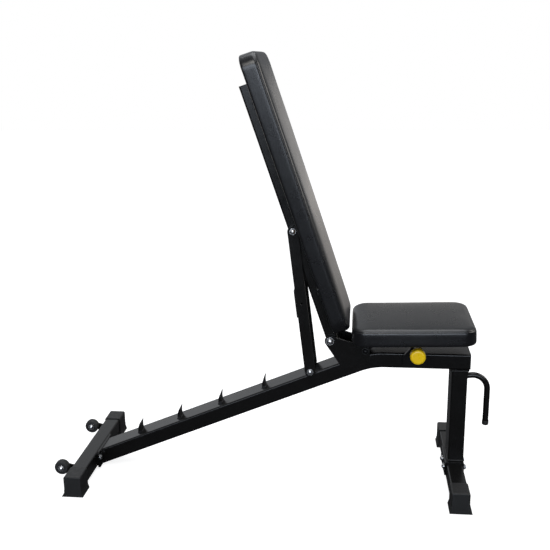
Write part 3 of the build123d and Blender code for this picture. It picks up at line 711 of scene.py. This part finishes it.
# ---------------------------------------------------------------- stage
FLOOR_HALF = 12.0
FRONT_BAND = 7.0    # strength of the surround's bright strip, low in front of the object


def make_floor():
    """A wide floor: pale to the camera; to other rays it is dark, with a warm glow far back."""
    s = FLOOR_HALF
    mesh = bpy.data.meshes.new("floor")
    mesh.from_pydata([(-s, -s, 0), (s, -s, 0), (s, s, 0), (-s, s, 0)], [], [[0, 1, 2, 3]])
    floor = bpy.data.objects.new("floor", mesh)
    bpy.context.scene.collection.objects.link(floor)
    g = Graph("floor_white", (0.9, 0.9, 0.9), 0.9)

    def added(first, second):
        node = g.add("ShaderNodeAddShader")
        g.feed(node.inputs[0], first.outputs[0])
        g.feed(node.inputs[1], second.outputs[0])
        return node

    pale = g.add("ShaderNodeEmission", {"Color": (1, 1, 1, 1), "Strength": 0.86})
    lit = g.add("ShaderNodeBsdfDiffuse", {"Color": (0.5, 0.5, 0.5, 1)})
    dim = g.add("ShaderNodeBsdfDiffuse", {"Color": (0.07, 0.07, 0.073, 1)})
    split = g.add("ShaderNodeSeparateXYZ", {"Vector": g.place()})
    glow = g.add("ShaderNodeEmission", {"Color": (1.0, 0.95, 0.9, 1)})
    g.feed(glow.inputs["Strength"], g.ramp(split.outputs["Y"], 1.2, 3.5, 0.0, 0.6))
    seen = g.add("ShaderNodeLightPath").outputs["Is Camera Ray"]
    pick = g.add("ShaderNodeMixShader", {"Fac": seen})
    g.feed(pick.inputs[1], added(dim, glow).outputs[0])
    g.feed(pick.inputs[2], added(pale, lit).outputs[0])
    g.feed(g.tree.nodes["Material Output"].inputs["Surface"], pick.outputs[0])
    mesh.materials.append(g.material)


def make_world():
    """A surround that the camera sees as white; it lights from above, behind and low in front."""
    world = bpy.data.worlds.new("studio")
    bpy.context.scene.world = world
    world.use_nodes = True
    nodes, links = world.node_tree.nodes, world.node_tree.links
    nodes.clear()

    def ramp(value, low, high, out_low, out_high, kind="LINEAR"):
        node = nodes.new("ShaderNodeMapRange")
        node.interpolation_type = kind
        ends = {"From Min": low, "From Max": high, "To Min": out_low, "To Max": out_high}
        for key, number in ends.items():
            node.inputs[key].default_value = number
        links.new(value, node.inputs["Value"])
        return node.outputs["Result"]

    def combine(operation, first, second):
        node = nodes.new("ShaderNodeMath")
        node.operation = operation
        links.new(first, node.inputs[0])
        links.new(second, node.inputs[1])
        return node.outputs[0]

    split = nodes.new("ShaderNodeSeparateXYZ")
    links.new(nodes.new("ShaderNodeTexCoord").outputs["Generated"], split.inputs[0])
    x, y, z = (split.outputs[axis] for axis in "XYZ")
    behind = ramp(y, -0.35, 0.9, 0.02, 0.33, "SMOOTHSTEP")
    left = ramp(x, -0.4, 0.0, 2.1, 0.8)
    above = ramp(z, 0.25, 0.95, 0.0, 0.35)
    facing = ramp(y, -0.8, -0.96, 0.0, FRONT_BAND)
    band = combine("MULTIPLY", ramp(z, 0.4, 0.18, 0.0, 1.0), ramp(z, -0.02, 0.06, 0.0, 1.0))
    rear = combine("MULTIPLY", behind, left)
    front = combine("MULTIPLY", facing, band)

    room = nodes.new("ShaderNodeBackground")
    links.new(combine("ADD", combine("ADD", rear, above), front), room.inputs["Strength"])
    tint = nodes.new("ShaderNodeMix")
    tint.data_type = "RGBA"
    links.new(front, tint.inputs["Factor"])
    for place, color in zip(MIX_COLORS, ((0.93, 0.96, 1.0, 1), (0.8, 0.88, 1.0, 1))):
        tint.inputs[place].default_value = color
    links.new(tint.outputs[MIX_RESULT], room.inputs["Color"])

    white = nodes.new("ShaderNodeBackground")
    white.inputs["Strength"].default_value = 1.0
    white.inputs["Color"].default_value = (1, 1, 1, 1)
    seen = nodes.new("ShaderNodeLightPath")
    pick = nodes.new("ShaderNodeMixShader")
    links.new(seen.outputs["Is Camera Ray"], pick.inputs["Fac"])
    links.new(room.outputs[0], pick.inputs[1])
    links.new(white.outputs[0], pick.inputs[2])
    links.new(pick.outputs[0], nodes.new("ShaderNodeOutputWorld").inputs["Surface"])


def softbox(name, place, target, size, watts, color):
    data = bpy.data.lights.new(name, "AREA")
    data.shape = "RECTANGLE"
    data.size, data.size_y = size
    data.energy = watts
    data.color = color
    lamp = bpy.data.objects.new(name, data)
    lamp.location = place
    lamp.rotation_euler = (Vector(target) - Vector(place)).to_track_quat("-Z", "Y").to_euler()
    bpy.context.scene.collection.objects.link(lamp)
    lamp.visible_camera = False


def make_lights():
    softbox("overhead", (0.3, 0.2, 2.9), (0, 0, 0.4), (2.4, 1.6), 34, (0.95, 0.97, 1.0))
    softbox("seat_side", (2.7, 0.4, 2.0), (0.1, 0, 0.7), (1.6, 1.6), 30, (1.0, 0.97, 0.93))
    softbox("front_high", (-0.4, -2.6, 2.9), (0.2, 0, 0.5), (1.6, 1.0), 34, (1.0, 0.98, 0.94))
    softbox("rear_low", (1.0, 5.0, 0.85), (0.0, 0, 0.8), (1.8, 1.2), 3.6, (1.0, 0.94, 0.88))


# ---------------------------------------------------------------- build
make_camera()
FINISHES = {
    "frame_paint": powder_coat(),
    "zinc": zinc_plate(),
    "black_bolt": black_oxide(),
    "plastic": textured_plastic(),
    "rubber": moulded_rubber(),
    "leatherette": leatherette(),
    "plywood": plywood(),
    "yellow": yellow_plastic(),
}
dress_nodes(FINISHES)

back_cos, back_sin = math.cos(BACK_LEAN), math.sin(BACK_LEAN)
seat_cos, seat_sin = math.cos(SEAT_SLOPE), math.sin(SEAT_SLOPE)
back = Pad(
    "back_pad", BACK_PIVOT,
    along=Vector((-back_cos, 0, back_sin)), out=Vector((back_sin, 0, back_cos)),
)
seat = Pad(
    "seat_pad", SEAT_PIVOT,
    along=Vector((seat_cos, 0, seat_sin)), out=Vector((-seat_sin, 0, seat_cos)),
)
vinyl = FINISHES["leatherette"]
make_cushion(
    "back_cushion", back, "backrest", "back_pad", vinyl,
    worn=[(-1, 560 * MM, 5 * MM, True)], puff=1.2 * MM,
)
make_cushion(
    "seat_cushion", seat, "seat", "seat_pad", vinyl,
    worn=[(-1, 45 * MM, 4 * MM, False), (1, 60 * MM, 2 * MM, False)], puff=0.6 * MM,
)
make_staples("back_staples", back, "backrest", FINISHES["zinc"])
make_staples("seat_staples", seat, "seat", FINISHES["zinc"])

for weld in (tooth_welds, post_welds, end_plate_welds, handle_weld):
    weld(FINISHES["frame_paint"])

make_floor()
make_world()
make_lights()
bpy.context.scene.view_settings.view_transform = "Standard"
